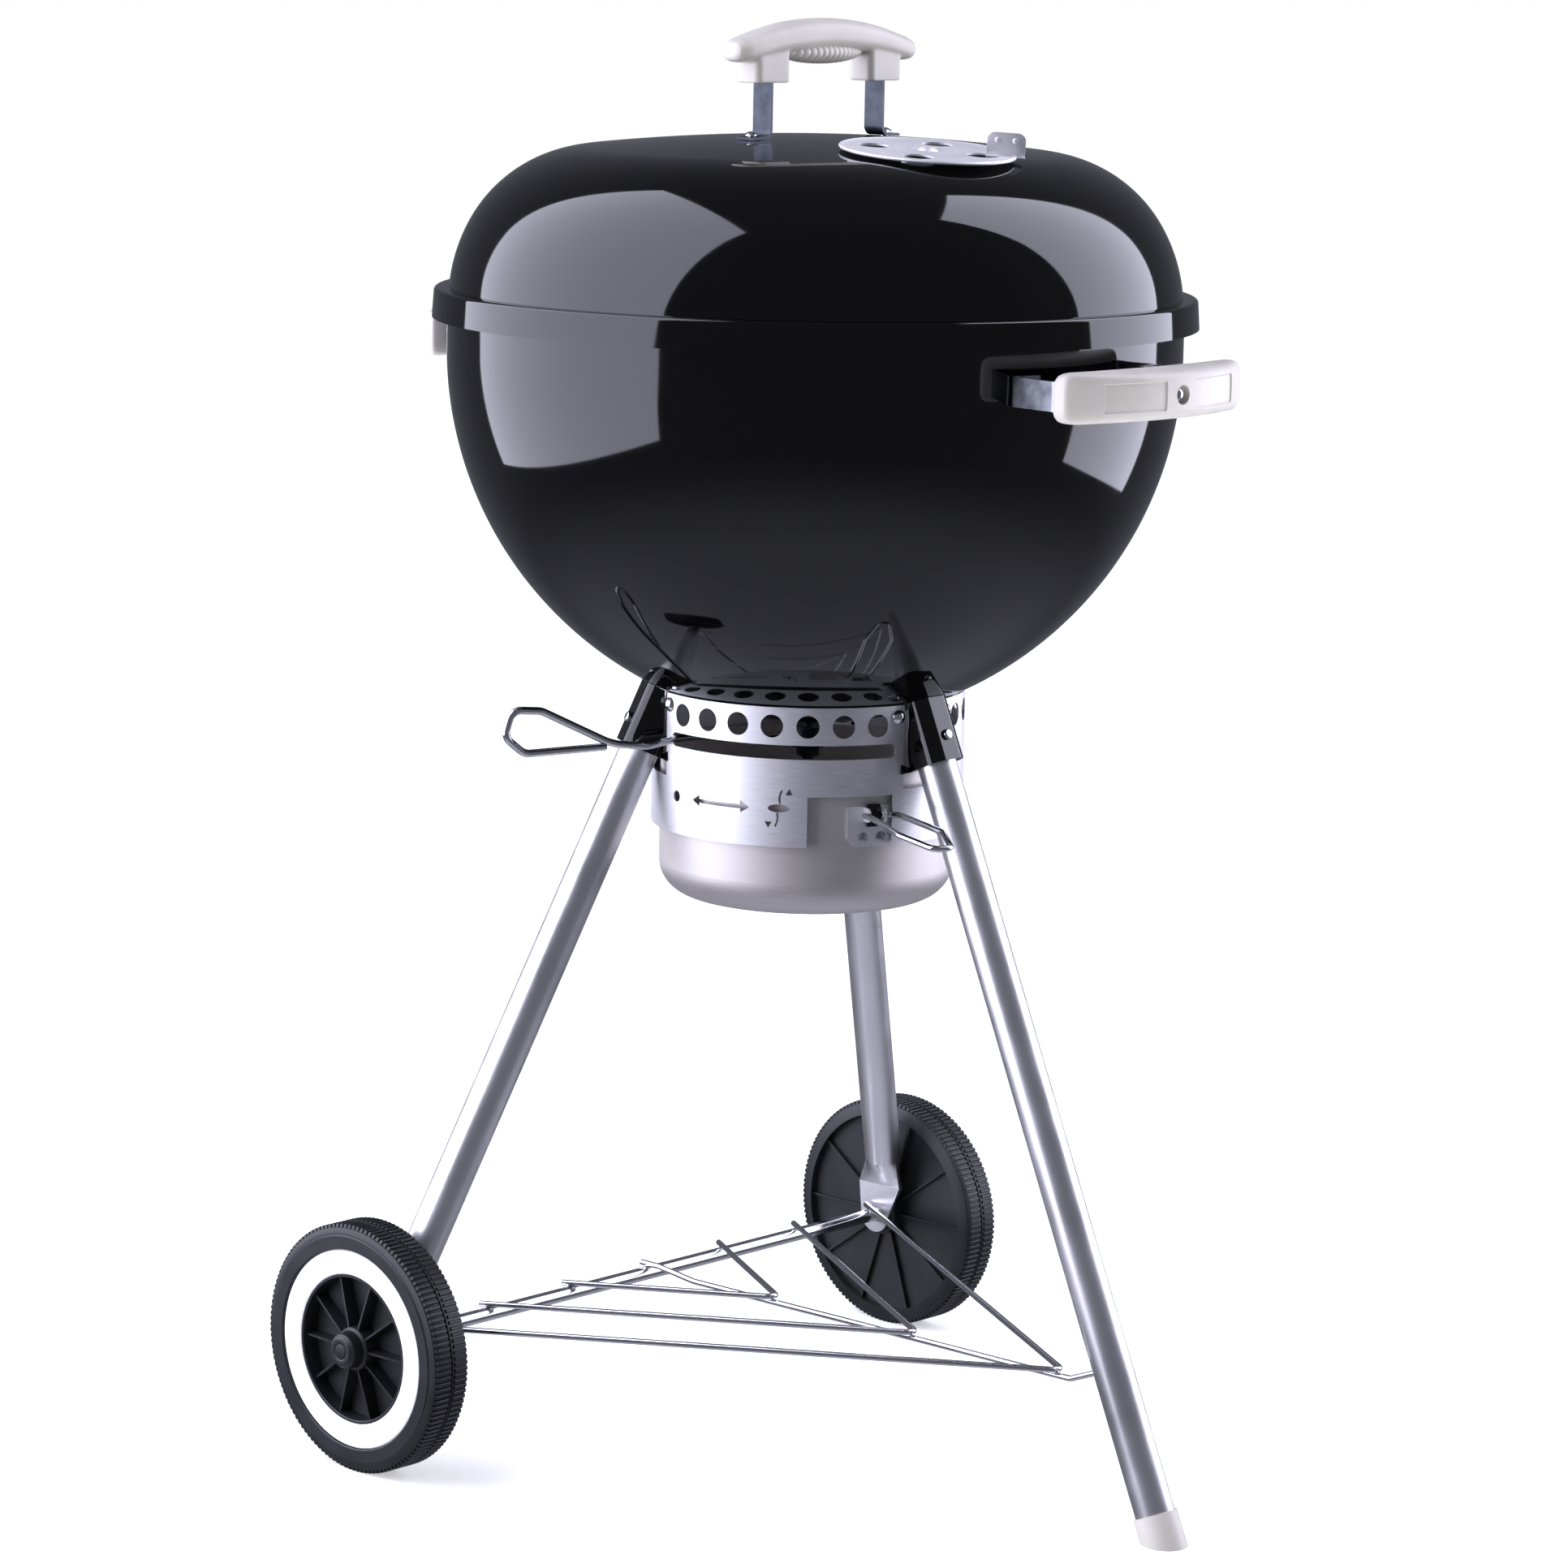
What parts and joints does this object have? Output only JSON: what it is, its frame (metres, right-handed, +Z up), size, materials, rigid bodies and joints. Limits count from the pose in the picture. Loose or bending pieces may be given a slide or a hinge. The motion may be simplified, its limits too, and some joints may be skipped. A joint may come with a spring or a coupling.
{
  "type": "kettle charcoal grill",
  "caption": "Round covered charcoal grill on three splayed tube legs, two with wheels, with a lift-off domed lid, vent damper, ash sweep lever and hanging ash cup.",
  "frame": {"origin": "on the floor, on the bowl's vertical axis", "axes": "+Z up, -Y towards the leg with the foot cap, +X along the wheel axle to the right when seen from that leg"},
  "size_m": [0.556, 0.6338, 0.93],
  "materials": {
    "black_enamel": "glossy porcelain enamel",
    "off_white_plastic": "satin",
    "dark_wheel_plastic": "matte",
    "polished_aluminium": "polished",
    "brushed_steel": "brushed round the ring",
    "satin_aluminium": "satin",
    "sheet_steel": "plain sheet",
    "plated_steel": "bright plating"
  },
  "bodies": {
    "kettle": {"bowl_shell": "black_enamel", "bowl_floor": "black_enamel", "leg_socket_front": "black_enamel", "leg_socket_left": "black_enamel", "leg_socket_right": "black_enamel", "leg_front": "polished_aluminium", "leg_left": "polished_aluminium", "leg_right": "polished_aluminium", "foot_cap": "off_white_plastic", "ash_band": "brushed_steel", "band_screws": "plated_steel", "axle": "plated_steel", "wheel_cap_left": "dark_wheel_plastic", "wheel_cap_right": "dark_wheel_plastic", "rack_wire_outer": "plated_steel", "rack_wire_middle": "plated_steel", "rack_wire_inner": "plated_steel", "rack_wire_centre": "plated_steel", "handle_bracket_front": "sheet_steel", "handle_bracket_rear": "sheet_steel", "handle_grip_front": "off_white_plastic", "handle_grip_rear": "off_white_plastic", "handle_screw_front": "plated_steel", "handle_screw_rear": "plated_steel", "cooking_grate_frame": "plated_steel", "cooking_grate_rods": "plated_steel", "charcoal_grate_frame": "plated_steel", "charcoal_grate_rods": "plated_steel", "grate_tabs": "sheet_steel"},
    "lid": {"lid_shell": "black_enamel", "lid_handle_bracket_left": "sheet_steel", "lid_handle_bracket_right": "sheet_steel", "lid_handle_grip": "off_white_plastic", "lid_handle_screws": "plated_steel", "vent_rivet": "polished_aluminium"},
    "damper": {"vent_damper": "polished_aluminium"},
    "sweep": {"sweep_blades": "sheet_steel", "sweep_shaft": "plated_steel", "sweep_collar": "plated_steel", "sweep_lever": "plated_steel", "sweep_nut": "plated_steel"},
    "catcher": {"ash_catcher": "satin_aluminium", "catcher_bracket": "sheet_steel", "catcher_rivets": "sheet_steel"},
    "bail": {"catcher_bail": "plated_steel"},
    "wheel_left": {"wheel_left": "dark_wheel_plastic", "wheel_trim_left": "off_white_plastic"},
    "wheel_right": {"wheel_right": "dark_wheel_plastic", "wheel_trim_right": "off_white_plastic"},
    "button_front": {"leg_button_front": "plated_steel"},
    "button_left": {"leg_button_left": "plated_steel"},
    "button_right": {"leg_button_right": "plated_steel"}
  },
  "joints": [
    {"name": "lid_lift", "type": "slide", "parent": "kettle", "child": "lid", "axis": [0, 0, 1], "range_m": [0, 0.3]},
    {"name": "vent_turn", "type": "hinge", "parent": "lid", "child": "damper", "pos_m": [-0.02699, -0.11692, 0.8505], "axis": [-0.0208, -0.0899, 0.9957], "range_deg": [0, 45]},
    {"name": "sweep_turn", "type": "hinge", "parent": "kettle", "child": "sweep", "pos_m": [0, 0, 0.47], "axis": [0, 0, 1], "range_deg": [0, 88]},
    {"name": "catcher_drop", "type": "slide", "parent": "kettle", "child": "catcher", "axis": [0, 0, -1], "range_m": [0, 0.12]},
    {"name": "bail_swing", "type": "hinge", "parent": "catcher", "child": "bail", "pos_m": [-0.0372, -0.09444, 0.435], "axis": [0.9304, -0.3665, 0], "range_deg": [-20, 50]},
    {"name": "wheel_left_spin", "type": "hinge", "parent": "kettle", "child": "wheel_left", "pos_m": [-0.254, 0.141, 0.0815], "axis": [1, 0, 0], "continuous": true},
    {"name": "wheel_right_spin", "type": "hinge", "parent": "kettle", "child": "wheel_right", "pos_m": [0.254, 0.141, 0.0815], "axis": [1, 0, 0], "continuous": true},
    {"name": "leg_button_front_press", "type": "slide", "parent": "kettle", "child": "button_front", "axis": [0, 0.9166, -0.3997], "range_m": [0, 0.0022], "stiffness_N_per_m": 300},
    {"name": "leg_button_left_press", "type": "slide", "parent": "kettle", "child": "button_left", "axis": [0.7938, -0.4583, -0.3997], "range_m": [0, 0.0022], "stiffness_N_per_m": 300},
    {"name": "leg_button_right_press", "type": "slide", "parent": "kettle", "child": "button_right", "axis": [-0.7938, -0.4583, -0.3997], "range_m": [0, 0.0022], "stiffness_N_per_m": 300}
  ]
}
